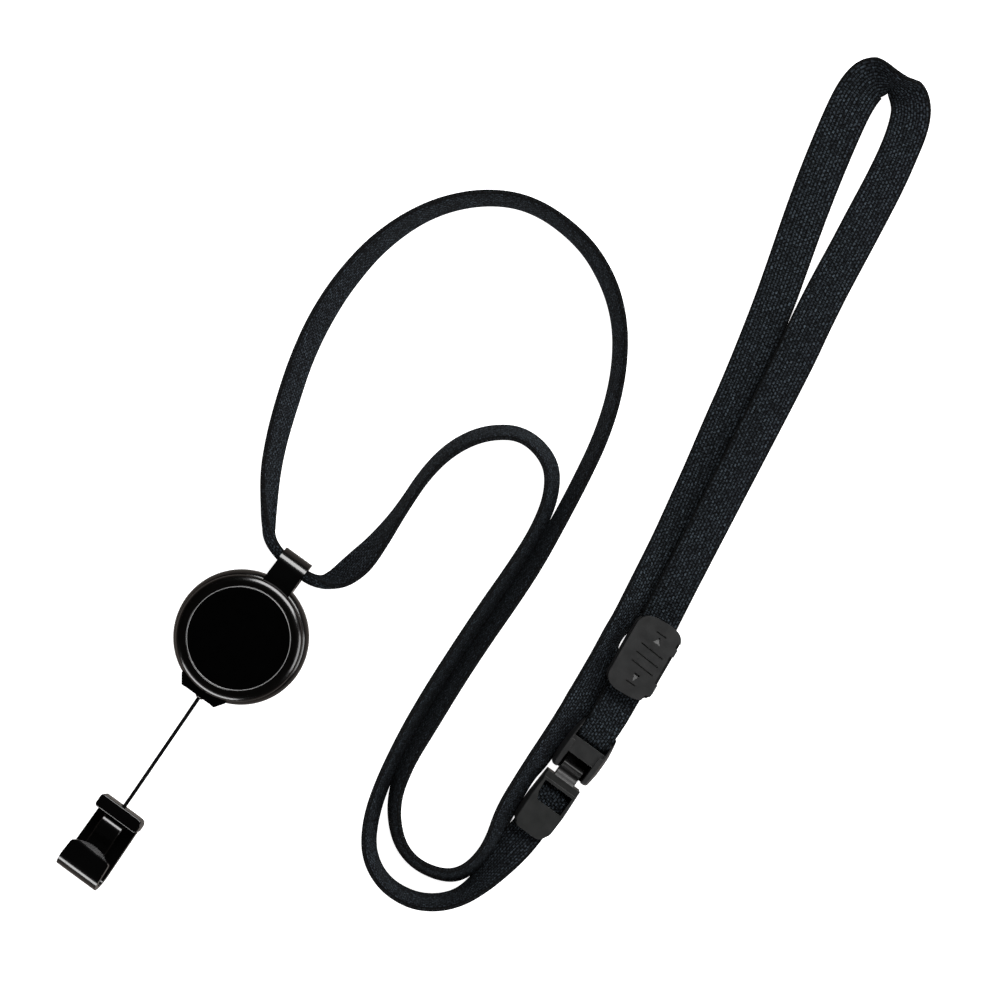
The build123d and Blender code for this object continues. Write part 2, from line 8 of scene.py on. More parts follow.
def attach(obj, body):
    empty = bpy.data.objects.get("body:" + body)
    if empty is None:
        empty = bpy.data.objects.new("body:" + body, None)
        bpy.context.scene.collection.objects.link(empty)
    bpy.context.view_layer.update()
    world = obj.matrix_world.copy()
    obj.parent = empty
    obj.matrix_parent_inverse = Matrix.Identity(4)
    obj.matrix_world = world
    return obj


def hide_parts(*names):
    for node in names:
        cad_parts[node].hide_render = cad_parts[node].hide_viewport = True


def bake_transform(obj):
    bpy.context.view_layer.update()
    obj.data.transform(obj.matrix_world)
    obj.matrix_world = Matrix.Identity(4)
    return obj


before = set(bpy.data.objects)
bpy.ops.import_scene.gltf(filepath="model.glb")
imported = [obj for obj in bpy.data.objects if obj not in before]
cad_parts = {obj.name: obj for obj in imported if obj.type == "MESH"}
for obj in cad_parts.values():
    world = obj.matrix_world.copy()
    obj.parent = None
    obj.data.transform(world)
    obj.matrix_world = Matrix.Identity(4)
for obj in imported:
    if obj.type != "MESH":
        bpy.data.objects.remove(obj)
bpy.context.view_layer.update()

MM = 0.001

# ---- driving sizes, in millimetres -------------------------------------------------------------
STRAP_WIDTH = 9.6
STRAP_THICK = 1.8
CORD_DIAMETER = 0.8
# The cord is drawn a little thicker than its diameter.
CORD_LOOK = 0.94
# Heights above z = 0, where the flat undersides are: the table's top, and the strap's lowest point.
TABLE_TOP = -0.05
TABLE_GAP = 0.12

# ---- how finely round shapes are divided -------------------------------------------------------
STRAP_SIDES = 28
ROUTE_STEPS = 12
CORD_SIDES = 12
CORD_STEPS = 16


# ---- camera: place in metres, lens and sensor in millimetres, turn in degrees ------------------
CAMERA_PLACE = (0.0321, 0.0655, 0.645)
CAMERA_TURN = 36
CAMERA_LENS = 92.9
CAMERA_SENSOR = 36


def add_camera():
    """Looks straight down on the middle of the lanyard, turned as the photograph is."""
    data = bpy.data.cameras.new("camera")
    data.lens = CAMERA_LENS
    data.sensor_width = CAMERA_SENSOR
    data.clip_start = 0.01
    data.clip_end = 10
    camera = bpy.data.objects.new("camera", data)
    camera.location = CAMERA_PLACE
    camera.rotation_euler = (0, 0, math.radians(CAMERA_TURN))
    bpy.context.scene.collection.objects.link(camera)
    bpy.context.scene.camera = camera


add_camera()

# ---- the strap's route -------------------------------------------------------------------------
# Each row is one control point: x, y, z, roll, curl, width, in millimetres and degrees. Roll is 0
# where the strap lies flat and 90 where it stands on its edge. Curl is the angle that its width
# bends through. The route starts at the bar in the buckle's upper half, goes round the neck, down
# the left leg, round to the reel's hanger and back, and ends at the bar in the lower half.

BUCKLE_X = 85.8
RIGHT_LEG = [
    (85.8, 33.0, 5.3, 0, 0, 8.8), (85.7, 37.0, 4.9, 0, 0, 9.1), (85.0, 43.0, 4.3, 0, 0, 9.4),
    (83.6, 54.5, 4.2, 0, 0, 9.6), (80.9, 70.0, 4.2, 0, 0, 9.6), (77.1, 95.5, 4.2, 0, 8, 9.6),
    (70.8, 136.5, 3.8, 0, 8, 10.2), (68.9, 146.0, 2.9, 0, 8, 10.3)]
NECK = [
    (67.2, 156.9, 1.7, 0, 8, 10.2), (66.0, 166.5, 1.2, 0, 8, 10.1), (64.6, 176.4, 1.1, 0, 8, 10.2),
    (63.1, 186.9, 1.2, 0, 10, 10.0), (61.4, 195.0, 1.4, 0, 14, 9.8), (59.9, 200.4, 1.8, 4, 20, 10.1),
    (57.9, 204.5, 2.4, 12, 24, 10.0), (55.0, 206.8, 3.3, 26, 26, 9.8), (52.4, 207.1, 4.4, 55, 26, 9.6),
    (50.1, 207.4, 4.8, 78, 20, 9.2), (47.9, 206.7, 4.2, 42, 20, 9.8), (45.1, 204.9, 2.8, 8, 12, 11.0),
    (44.5, 201.0, 2.0, 4, 14, 11.2), (45.1, 195.7, 1.4, 0, 8, 11.0), (47.0, 187.0, 1.1, 0, 6, 10.9),
    (49.4, 177.1, 1.1, 0, 6, 10.8), (52.3, 166.6, 1.1, 0, 6, 10.6), (55.3, 156.6, 1.1, 0, 6, 10.4),
    (58.5, 145.8, 1.1, 0, 6, 10.3)]
LEFT_LEG = [
    (61.5, 133.7, 1.1, 0, 6, 10.0), (64.0, 123.0, 1.1, 0, 6, 9.8), (66.2, 112.3, 1.1, 0, 6, 9.7),
    (68.6, 101.8, 1.1, 0, 6, 9.6), (70.8, 91.0, 1.2, 2, 8, 9.6), (72.9, 80.2, 1.6, 8, 8, 9.6),
    (74.2, 69.0, 2.6, 25, 8, 9.6), (74.4, 60.6, 3.6, 46, 8, 9.6), (74.2, 56.0, 4.1, 57, 8, 9.6),
    (74.7, 52.2, 4.0, 57, 8, 9.6), (76.6, 46.0, 3.2, 37, 8, 9.6), (77.7, 40.5, 2.8, 28, 8, 9.6),
    (77.9, 36.0, 3.2, 30, 8, 9.6), (77.5, 31.0, 3.9, 47, 8, 9.6), (77.4, 24.0, 4.4, 55, 8, 9.6),
    (77.6, 18.8, 4.4, 55, 8, 9.6), (77.4, 13.5, 4.5, 63, 8, 9.6), (78.4, 4.0, 4.5, 59, 8, 9.6),
    (80.2, -4.0, 4.8, 70, 8, 9.6)]
OUTER_RUN = [
    (80.2, -10.6, 4.8, 71, 8, 9.6), (78.5, -15.8, 4.8, 65, 10, 9.6), (74.2, -18.7, 4.8, 68, 10, 9.6),
    (67.4, -19.9, 4.8, 71, 10, 9.6), (60.8, -17.5, 4.8, 72, 10, 9.6), (54.5, -10.5, 4.8, 72, 8, 9.6),
    (51.5, -0.8, 4.8, 68, 8, 9.6), (50.7, 10.6, 4.8, 68, 8, 9.6), (49.8, 22.1, 4.8, 69, 8, 9.6),
    (49.2, 34.6, 4.8, 69, 8, 9.6), (48.9, 47.6, 4.8, 68, 8, 9.6), (48.4, 58.2, 4.8, 68, 8, 9.6),
    (47.1, 70.0, 4.8, 71, 8, 9.6), (45.5, 81.1, 4.8, 71, 8, 9.6), (43.5, 92.1, 4.8, 71, 8, 9.6),
    (40.3, 102.2, 4.8, 72, 8, 9.6), (35.8, 111.3, 4.8, 73, 8, 9.6), (29.8, 119.3, 4.8, 73, 8, 9.6),
    (21.6, 125.7, 4.8, 71, 8, 9.6), (10.6, 130.0, 4.8, 74, 8, 9.6), (-4.1, 130.1, 4.8, 76, 8, 9.6),
    (-15.4, 124.4, 4.8, 75, 8, 9.6), (-24.6, 113.9, 4.8, 73, 8, 9.6), (-29.8, 100.5, 4.7, 67, 8, 9.6),
    (-31.2, 87.0, 4.6, 62, 8, 9.6), (-30.5, 75.4, 4.6, 60, 8, 9.6), (-28.4, 64.8, 4.6, 61, 8, 9.6),
    (-25.2, 54.8, 4.7, 60, 8, 9.6), (-21.7, 45.0, 4.8, 63, 14, 9.5), (-17.5, 36.1, 4.8, 65, 30, 9.2)]
HANGER = [
    (-12.1, 28.0, 4.3, 74, 110, 7.8), (-7.4, 22.7, 3.9, 90, 235, 5.0), (6.2, 21.4, 3.9, 90, 235, 5.0),
    (11.0, 24.9, 4.0, 52, 70, 8.6)]
INNER_RUN = [
    (13.1, 31.6, 4.3, 43, 20, 9.5), (13.9, 39.4, 4.6, 60, 12, 9.6), (13.8, 49.0, 4.8, 74, 8, 9.6),
    (13.3, 60.3, 4.8, 73, 8, 9.6), (15.0, 69.5, 4.8, 70, 8, 9.6), (19.6, 77.3, 4.8, 69, 8, 9.6),
    (27.3, 82.5, 4.8, 70, 8, 9.6), (36.8, 80.8, 4.8, 68, 8, 9.6), (41.7, 74.3, 4.8, 70, 8, 9.6),
    (44.0, 65.2, 4.8, 71, 8, 9.6), (44.7, 54.6, 4.8, 71, 8, 9.6), (44.9, 42.2, 4.8, 70, 8, 9.6),
    (45.4, 29.6, 4.8, 70, 8, 9.6), (46.1, 17.4, 4.8, 70, 8, 9.6), (47.2, 5.6, 4.8, 71, 8, 9.6),
    (49.5, -7.9, 4.8, 72, 8, 9.6)]
TAIL = [
    (52.5, -17.4, 4.8, 72, 8, 9.6), (57.1, -24.7, 4.8, 75, 8, 9.6), (64.1, -28.4, 4.8, 77, 8, 9.6),
    (71.9, -28.1, 4.8, 75, 8, 9.6), (77.8, -25.1, 4.8, 75, 8, 9.6), (82.2, -20.1, 4.8, 73, 8, 9.6),
    (84.3, -13.3, 4.4, 60, 8, 9.6), (85.2, -5.2, 3.9, 38, 4, 9.4), (85.8, 2.8, 4.0, 8, 0, 8.8),
    (85.8, 9.0, 4.3, 0, 0, 8.5)]
PULL_CORD = [
    (0.4, -17.0, 4.0), (0.5, -20.0, 4.0), (0.9, -34.0, 3.9), (1.3, -48.0, 3.8), (1.35, -51.6, 3.8)]
# The strap's folds round the buckle's two bars, as (y, z) control points, and their sections.
SOCKET_FOLD = [(36.6, 3.2), (33.4, 2.7), (29.9, 2.5), (29.9, 5.9), (33.2, 5.75), (36.4, 5.1)]
SOCKET_FOLD_WIDTH, SOCKET_FOLD_THICK = 8.7, 1.3
PLUG_FOLD = [(7.4, 4.2), (11.2, 4.9), (15.6, 5.1), (15.6, 1.9), (11.5, 2.0), (7.0, 2.4)]
PLUG_FOLD_WIDTH, PLUG_FOLD_THICK = 8.3, 1.25
# Powers of the sine and cosine: under 1 they fill out the section's corners.
FILL_ACROSS = 0.62
FILL_UP = 0.75
# A curl under this many radians is drawn flat.
NO_CURL = 0.01


def metres(point):
    return tuple(value * MM for value in point[:3])


def spline_points(name, points, steps):
    """Points read from the NURBS spline that has these control points."""
    data = bpy.data.curves.new(name, "CURVE")
    data.dimensions = "3D"
    data.resolution_u = steps
    spline = data.splines.new("NURBS")
    spline.points.add(len(points) - 1)
    for control, point in zip(spline.points, points):
        control.co = (*point, 1)
    spline.order_u = 3
    spline.use_endpoint_u = True
    holder = bpy.data.objects.new(name, data)
    line = bpy.data.meshes.new_from_object(holder)
    found = [vertex.co.copy() for vertex in line.vertices]
    bpy.data.objects.remove(holder)
    bpy.data.curves.remove(data)
    bpy.data.meshes.remove(line)
    return found


def tangents(points):
    """The direction of travel at each point."""
    last = len(points) - 1
    return [(points[min(i + 1, last)] - points[max(i - 1, 0)]).normalized() for i in range(last + 1)]


def link(name, mesh):
    made = bpy.data.objects.new(name, mesh)
    bpy.context.scene.collection.objects.link(made)
    return made


def sweep(name, rings, distances, spans):
    """A closed tube through rings of points, with UVs in metres: across the width, and along."""
    sides = len(rings[0])
    mesh = bpy.data.meshes.new(name)
    vertices = [point for ring in rings for point in ring]
    faces = []
    uv_places = []
    for row in range(len(rings) - 1):
        for side in range(sides):
            after = (side + 1) % sides
            faces.append((row * sides + side, row * sides + after,
                          (row + 1) * sides + after, (row + 1) * sides + side))
            low, high = spans[side], spans[side + 1]
            start, end = distances[row], distances[row + 1]
            uv_places += [(low, start), (high, start), (high, end), (low, end)]
    last = (len(rings) - 1) * sides
    faces.append(tuple(reversed(range(sides))))
    faces.append(tuple(last + side for side in range(sides)))
    uv_places += [(spans[side], distances[0]) for side in reversed(range(sides))]
    uv_places += [(spans[side], distances[-1]) for side in range(sides)]
    mesh.from_pydata(vertices, [], faces)
    layer = mesh.uv_layers.new(name="UVMap")
    for index, uv_place in enumerate(uv_places):
        layer.data[index].uv = uv_place
    mesh.shade_smooth()
    mesh.validate()
    return link(name, mesh)


def filled(wave, power, size):
    """Where a sine or cosine, filled out by a power, lies in a section of this size."""
    return math.copysign(abs(wave) ** power, wave) * size / 2


def flat_section(width, thick, curl):
    """The strap's outline as (across, up) pairs, with round edges, bent through curl radians."""
    outline = []
    for index in range(STRAP_SIDES):
        angle = 2 * math.pi * index / STRAP_SIDES
        across = filled(math.cos(angle), FILL_ACROSS, width)
        up = filled(math.sin(angle), FILL_UP, thick)
        if curl > NO_CURL:
            radius = width / curl
            turn = across / radius
            sink = radius * (1 - math.sin(curl / 2) / (curl / 2))
            outline.append(((radius - up) * math.sin(turn), radius - (radius - up) * math.cos(turn) - sink))
        else:
            outline.append((across, up))
    return outline


def section_spans(width):
    """How far across the section each of its corners is, in metres from its middle."""
    angles = [2 * math.pi * index / STRAP_SIDES for index in range(STRAP_SIDES + 1)]
    return [filled(math.cos(angle), FILL_ACROSS, width) * MM for angle in angles]


def strap_rings(rows):
    """Rings and centres along the strap. A ring that would go into the table is lifted."""
    centres = spline_points("route", [metres(row) for row in rows], ROUTE_STEPS)
    shapes = spline_points("route_shape", [row[3:6] for row in rows], ROUTE_STEPS)
    rings = []
    lifted = []
    for centre, direction, shape in zip(centres, tangents(centres), shapes):
        roll, curl, width = math.radians(shape[0]), math.radians(shape[1]), shape[2]
        side = direction.cross(Vector((0, 0, 1))).normalized()
        up = side.cross(direction).normalized()
        across = side * math.cos(roll) + up * math.sin(roll)
        normal = across.cross(direction)
        outline = flat_section(width, STRAP_THICK, curl)
        ring = [centre + across * (a * MM) + normal * (b * MM) for a, b in outline]
        low = min(point.z for point in ring)
        lift = Vector((0, 0, max(0, TABLE_GAP * MM - low)))
        rings.append([point + lift for point in ring])
        lifted.append(centre + lift)
    return rings, lifted


def along(points):
    """The distance travelled at each point."""
    total = [0.0]
    for before, after in zip(points, points[1:]):
        total.append(total[-1] + (after - before).length)
    return total


def add_strap():
    """The strap in two meshes that share a ring: the second one is its end by the buckle's lower half."""
    first = RIGHT_LEG + NECK + LEFT_LEG + OUTER_RUN + HANGER + INNER_RUN
    rows = first + TAIL
    rings, centres = strap_rings(rows)
    distances = along(centres)
    # The spline has two spans fewer than rows. The shared ring is the one beside the tail's first row.
    shared = round(len(centres) * (len(first) - 0.5) / (len(rows) - 2))
    spans = section_spans(STRAP_WIDTH)
    main = sweep("strap", rings[:shared + 1], distances[:shared + 1], spans)
    tail = sweep("strap_end", rings[shared:], distances[shared:], spans)
    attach(main, "lanyard")
    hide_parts("strap_leg", "strap_neck", "strap_left_leg", "strap_outer_run",
                "strap_in_hanger", "strap_inner_run")
    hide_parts("strap_tail")
    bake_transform(tail)
    return main, tail


def add_fold(name, route, width, thick):
    """The strap's end, folded round a bar of the buckle that runs along X."""
    centres = spline_points(name, [(BUCKLE_X * MM, y * MM, z * MM) for y, z in route], ROUTE_STEPS)
    rings = []
    for centre, direction in zip(centres, tangents(centres)):
        across = Vector((1, 0, 0))
        normal = across.cross(direction)
        outline = flat_section(width, thick, 0)
        rings.append([centre + across * (a * MM) + normal * (b * MM) for a, b in outline])
    return sweep(name, rings, along(centres), section_spans(width))


def add_pull_cord():
    """The thin cord from the reel to the hook."""
    centres = spline_points("pull", [metres(point) for point in PULL_CORD], CORD_STEPS)
    rings = []
    radius = CORD_LOOK * MM / 2
    angles = [2 * math.pi * index / CORD_SIDES for index in range(CORD_SIDES)]
    for centre, direction in zip(centres, tangents(centres)):
        across = direction.cross(Vector((0, 0, 1))).normalized()
        normal = across.cross(direction)
        rings.append([centre + (across * math.cos(a) + normal * math.sin(a)) * radius for a in angles])
    spans = [CORD_DIAMETER * MM * math.pi * index / CORD_SIDES for index in range(CORD_SIDES + 1)]
    made = sweep("pull_cord_line", rings, along(centres), spans)
    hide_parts("pull_cord")
    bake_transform(made)
    return made


strap, strap_tail = add_strap()
socket_loop = add_fold("strap_loop_socket", SOCKET_FOLD, SOCKET_FOLD_WIDTH, SOCKET_FOLD_THICK)
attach(socket_loop, "lanyard")
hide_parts("strap_in_socket")
plug_loop = add_fold("strap_loop_plug", PLUG_FOLD, PLUG_FOLD_WIDTH, PLUG_FOLD_THICK)
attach(plug_loop, "plug")
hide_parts("strap_in_plug")
pull_line = add_pull_cord()


# ---- materials: noise scales are per metre, stitch sizes in millimetres ------------------------
DRIFT_SCALE = 90
POLISH_SCALE = 400
SCRATCH_SCALE = 900
STITCH_LENGTH, STITCH_HEIGHT, STITCH_GAP = 1.1, 0.75, 0.2
STITCH_RELIEF = 0.25
# The band at each edge of the strap that is darkened: partly the braid's own edge, partly painted shade
# where the edges turn from the light.
HEM_SHADE_START, HEM_SHADE_END = 3.9, 4.6
YARN_RELIEF = 0.08


def new_material(name):
    """A material with a Principled shader, as (material, nodes, links, shader)."""
    material = bpy.data.materials.new(name)
    material.use_nodes = True
    tree = material.node_tree
    return material, tree.nodes, tree.links, tree.nodes["Principled BSDF"]


def grey(value, tint=(1, 1, 1)):
    return (value * tint[0], value * tint[1], value * tint[2], 1)


def noise(nodes, links, source, scale, detail=3.0):
    made = nodes.new("ShaderNodeTexNoise")
    made.inputs["Scale"].default_value = scale
    made.inputs["Detail"].default_value = detail
    links.new(source, made.inputs["Vector"])
    return made


def add_bump(nodes, links, shader, height, distance, strength=1.0):
    bump = nodes.new("ShaderNodeBump")
    bump.inputs["Distance"].default_value = distance
    bump.inputs["Strength"].default_value = strength
    links.new(height, bump.inputs["Height"])
    links.new(bump.outputs["Normal"], shader.inputs["Normal"])
    return bump


def spread(nodes, links, source, low, high):
    """Maps a 0..1 value to low..high."""
    made = nodes.new("ShaderNodeMapRange")
    made.inputs["To Min"].default_value = low
    made.inputs["To Max"].default_value = high
    links.new(source, made.inputs["Value"])
    return made


def plastic(name, tone, roughness, grain, scale, tint=(1, 1, 1), specular=0.5):
    """Moulded plastic: a tone that drifts a little, uneven polish and a fine surface grain."""
    material, nodes, links, shader = new_material(name)
    where = nodes.new("ShaderNodeTexCoord").outputs["Object"]
    drift = noise(nodes, links, where, DRIFT_SCALE)
    mix = nodes.new("ShaderNodeMix")
    mix.data_type = "RGBA"
    mix.inputs["A"].default_value = grey(tone * 0.75, tint)
    mix.inputs["B"].default_value = grey(tone * 1.3, tint)
    links.new(drift.outputs["Fac"], mix.inputs["Factor"])
    links.new(mix.outputs["Result"], shader.inputs["Base Color"])
    polish = noise(nodes, links, where, POLISH_SCALE)
    rough = spread(nodes, links, polish.outputs["Fac"], roughness * 0.8, roughness * 1.25)
    links.new(rough.outputs["Result"], shader.inputs["Roughness"])
    fine = noise(nodes, links, where, scale, 2.0)
    add_bump(nodes, links, shader, fine.outputs["Fac"], grain * MM)
    shader.inputs["Specular IOR Level"].default_value = specular
    return material


def steel(name):
    """Steel for the spring, the screws and the pin, finely scratched."""
    material, nodes, links, shader = new_material(name)
    where = nodes.new("ShaderNodeTexCoord").outputs["Object"]
    scratch = noise(nodes, links, where, SCRATCH_SCALE)
    rough = spread(nodes, links, scratch.outputs["Fac"], 0.22, 0.4)
    links.new(rough.outputs["Result"], shader.inputs["Roughness"])
    add_bump(nodes, links, shader, scratch.outputs["Fac"], 0.01 * MM)
    shader.inputs["Base Color"].default_value = grey(0.55)
    shader.inputs["Metallic"].default_value = 1.0
    return material


def woven(name):
    """The strap's coarse braid: rows of short stitches in brick order, darker at the two edges, partly as
    the braid's own edge and partly as painted shade where the edges turn from the light; bright flecks are
    painted highlights for the yarn's glints.
    """
    material, nodes, links, shader = new_material(name)
    uv = nodes.new("ShaderNodeTexCoord").outputs["UV"]
    parts = nodes.new("ShaderNodeSeparateXYZ")
    links.new(uv, parts.inputs["Vector"])
    turned = nodes.new("ShaderNodeCombineXYZ")
    links.new(parts.outputs["Y"], turned.inputs["X"])
    links.new(parts.outputs["X"], turned.inputs["Y"])
    stitch = nodes.new("ShaderNodeTexBrick")
    stitch.inputs["Scale"].default_value = 1 / MM
    stitch.inputs["Brick Width"].default_value = STITCH_LENGTH
    stitch.inputs["Row Height"].default_value = STITCH_HEIGHT
    stitch.inputs["Mortar Size"].default_value = STITCH_GAP
    stitch.inputs["Mortar Smooth"].default_value = 0.9
    stitch.inputs["Bias"].default_value = 0.0
    stitch.inputs["Color1"].default_value = grey(0.006, (0.8, 1.0, 1.25))
    stitch.inputs["Color2"].default_value = grey(0.015, (0.78, 1.0, 1.22))
    stitch.inputs["Mortar"].default_value = grey(0.0004)
    links.new(turned.outputs["Vector"], stitch.inputs["Vector"])
    # Bright flecks scaled into the stitch colour at random: painted highlights that stand in for glints on
    # the yarn.
    glint_streak = noise(nodes, links, turned.outputs["Vector"], 1.6 / MM, 4.0)
    glint_fleck = nodes.new("ShaderNodeMapRange")
    glint_fleck.inputs["From Min"].default_value = 0.42
    glint_fleck.inputs["From Max"].default_value = 0.66
    glint_fleck.inputs["To Min"].default_value = 0.35
    glint_fleck.inputs["To Max"].default_value = 3.4
    links.new(glint_streak.outputs["Fac"], glint_fleck.inputs["Value"])
    uneven = nodes.new("ShaderNodeVectorMath")
    uneven.operation = "SCALE"
    links.new(stitch.outputs["Color"], uneven.inputs[0])
    links.new(glint_fleck.outputs["Result"], uneven.inputs["Scale"])
    edge = nodes.new("ShaderNodeMath")
    edge.operation = "ABSOLUTE"
    links.new(parts.outputs["X"], edge.inputs[0])
    # Darkens the edges: partly the braid's own edge, partly painted shade where the strap's edges turn from
    # the light.
    hem_shade = nodes.new("ShaderNodeMapRange")
    hem_shade.inputs["From Min"].default_value = HEM_SHADE_START * MM
    hem_shade.inputs["From Max"].default_value = HEM_SHADE_END * MM
    hem_shade.inputs["To Min"].default_value = 0.0
    hem_shade.inputs["To Max"].default_value = 0.85
    links.new(edge.outputs["Value"], hem_shade.inputs["Value"])
    mix = nodes.new("ShaderNodeMix")
    mix.data_type = "RGBA"
    mix.inputs["B"].default_value = grey(0.002)
    links.new(uneven.outputs["Vector"], mix.inputs["A"])
    links.new(hem_shade.outputs["Result"], mix.inputs["Factor"])
    links.new(mix.outputs["Result"], shader.inputs["Base Color"])
    shader.inputs["Roughness"].default_value = 0.95
    shader.inputs["Specular IOR Level"].default_value = 0.08
    raised = nodes.new("ShaderNodeMath")
    raised.operation = "SUBTRACT"
    raised.inputs[0].default_value = 1.0
    links.new(stitch.outputs["Fac"], raised.inputs[1])
    add_bump(nodes, links, shader, raised.outputs["Value"], STITCH_RELIEF * MM)
    return material


def cord_yarn(name):
    """The thin cord: twisted yarn, seen as slanted ridges."""
    material, nodes, links, shader = new_material(name)
    uv = nodes.new("ShaderNodeTexCoord").outputs["UV"]
    wave = nodes.new("ShaderNodeTexWave")
    wave.inputs["Scale"].default_value = 0.6 / MM
    wave.inputs["Distortion"].default_value = 0.0
    wave.bands_direction = "DIAGONAL"
    links.new(uv, wave.inputs["Vector"])
    tone = nodes.new("ShaderNodeMix")
    tone.data_type = "RGBA"
    tone.inputs["A"].default_value = grey(0.0004)
    tone.inputs["B"].default_value = grey(0.003)
    links.new(wave.outputs["Fac"], tone.inputs["Factor"])
    links.new(tone.outputs["Result"], shader.inputs["Base Color"])
    shader.inputs["Roughness"].default_value = 0.95
    shader.inputs["Specular IOR Level"].default_value = 0.05
    add_bump(nodes, links, shader, wave.outputs["Fac"], YARN_RELIEF * MM)
    return material


FABRIC = woven("strap_weave")
YARN = cord_yarn("cord_yarn")
HOOK_GLOSS = plastic("gloss_black", 0.001, 0.15, 0.003, 1500)
REEL_GLOSS = plastic("reel_black", 0.001, 0.18, 0.004, 1500, (1.1, 1.0, 0.9))
SATIN = plastic("satin_charcoal", 0.0062, 0.44, 0.02, 2500, (0.97, 1.0, 1.02))
PLATE = plastic("plate_charcoal", 0.0055, 0.44, 0.02, 2500, (0.94, 1.03, 1.0))
# A darker copy of the buckle plastic, as painted shade: on the adjuster's lower shell it darkens the
# plate's notches and the band beside the plate, and on the buckle's tongue the hollow under the bridge.
SHADE_PLASTIC = plastic("plastic_painted_shade", 0.0025, 0.45, 0.02, 2500, specular=0.3)
FACE = plastic("face_label", 0.0003, 0.35, 0.002, 2500, specular=0.02)
# A pale grey for the thin ring round the face: a painted highlight for the bright line where the face meets
# the cover.
RIM_HIGHLIGHT = plastic("face_rim_painted_highlight", 0.16, 0.35, 0.003, 2500)
INNER = plastic("inner_grey", 0.2, 0.4, 0.01, 1500)
RUBBER = plastic("grip_rubber", 0.01, 0.7, 0.03, 2500)
STEEL = steel("steel")


def dress(obj, material):
    obj.data.materials.clear()
    obj.data.materials.append(material)


for piece in (strap, strap_tail, socket_loop, plug_loop):
    dress(piece, FABRIC)
dress(pull_line, YARN)


# ---- mouldings: helpers, in millimetres until place() ------------------------------------------

def solid(name, vertices, faces):
    """A closed mesh with its faces turned outward."""
    mesh = bpy.data.meshes.new(name)
    mesh.from_pydata(vertices, [], faces)
    shape = bmesh.new()
    shape.from_mesh(mesh)
    bmesh.ops.remove_doubles(shape, verts=shape.verts, dist=0.0001)
    bmesh.ops.recalc_face_normals(shape, faces=shape.faces)
    shape.to_mesh(mesh)
    shape.free()
    return link(name, mesh)


def prism(name, outline, low, high):
    """A block that stands on an (x, y) outline."""
    count = len(outline)
    vertices = [(x, y, z) for z in (low, high) for x, y in outline]
    faces = [tuple(reversed(range(count))), tuple(range(count, 2 * count))]
    faces += [(i, (i + 1) % count, count + (i + 1) % count, count + i) for i in range(count)]
    return solid(name, vertices, faces)


def side_prism(name, outline, half):
    """A block with a (y, z) outline, its half width along X given or worked out from y."""
    count = len(outline)
    halves = [half(y) if callable(half) else half for y, z in outline]
    vertices = [(-h, y, z) for h, (y, z) in zip(halves, outline)]
    vertices += [(h, y, z) for h, (y, z) in zip(halves, outline)]
    faces = [tuple(range(count)), tuple(reversed(range(count, 2 * count)))]
    faces += [(i, (i + 1) % count, count + (i + 1) % count, count + i) for i in range(count)]
    return solid(name, vertices, faces)


def block(name, x_low, x_high, y_low, y_high, z_low, z_high):
    return prism(name, [(x_low, y_low), (x_high, y_low), (x_high, y_high), (x_low, y_high)], z_low, z_high)


def lathe(name, profile, sides=128):
    """A solid of revolution about a vertical axis, from a closed (radius, z) profile."""
    count = len(profile)
    vertices = []
    for side in range(sides):
        angle = 2 * math.pi * side / sides
        vertices += [(r * math.cos(angle), r * math.sin(angle), z) for r, z in profile]
    faces = []
    for side in range(sides):
        here, there = side * count, (side + 1) % sides * count
        for i in range(count):
            j = (i + 1) % count
            if max(profile[i][0], profile[j][0]) > 0:
                faces.append((here + i, there + i, there + j, here + j))
    return solid(name, vertices, faces)


def disc(name, radius, low, high, x=0.0, y=0.0):
    circle = [(x + radius * math.cos(math.radians(a)), y + radius * math.sin(math.radians(a)))
              for a in range(0, 360, 5)]
    return prism(name, circle, low, high)


def along_y(name, radius, low, high, x, z):
    """A round bar along Y."""
    turned = disc(name, radius, low, high)
    turned.data.transform(Matrix.Translation((x, 0, z)) @ Matrix.Rotation(math.radians(-90), 4, "X"))
    return turned


def moulded(corners, steps=6):
    """A plan outline from (x, y, radius) corners, each one rounded off by its radius."""
    outline = []
    for index, (x, y, radius) in enumerate(corners):
        corner = Vector((x, y))
        if radius == 0:
            outline.append((x, y))
            continue
        before = (Vector(corners[index - 1][:2]) - corner).normalized()
        after = (Vector(corners[(index + 1) % len(corners)][:2]) - corner).normalized()
        half = before.angle(after) / 2
        centre = corner + (before + after).normalized() * (radius / math.sin(half))
        start = corner + before * (radius / math.tan(half)) - centre
        end = corner + after * (radius / math.tan(half)) - centre
        turn = start.angle(end)
        for step in range(steps + 1):
            share = step / steps
            spoke = (start * math.sin((1 - share) * turn) + end * math.sin(share * turn)) / math.sin(turn)
            outline.append(tuple(centre + spoke))
    return outline


def settle(obj):
    """Applies the object's modifiers."""
    graph = bpy.context.evaluated_depsgraph_get()
    mesh = bpy.data.meshes.new_from_object(obj.evaluated_get(graph))
    obj.modifiers.clear()
    obj.data = mesh
    return obj


def combine(obj, cutter, operation):
    made = obj.modifiers.new(operation, "BOOLEAN")
    made.operation = operation
    made.solver = "EXACT"
    made.object = cutter
    settle(obj)
    bpy.data.objects.remove(cutter)
    return obj


def cut(obj, *cutters):
    for cutter in cutters:
        combine(obj, cutter, "DIFFERENCE")
    return obj


def soften(obj, width, segments=3, angle=35):
    """Rounds every edge that turns by more than angle degrees."""
    made = obj.modifiers.new("edges", "BEVEL")
    made.width = width
    made.segments = segments
    made.limit_method = "ANGLE"
    made.angle_limit = math.radians(angle)
    obj.data.shade_smooth()
    return settle(obj)


SHARP_ANGLE = 50


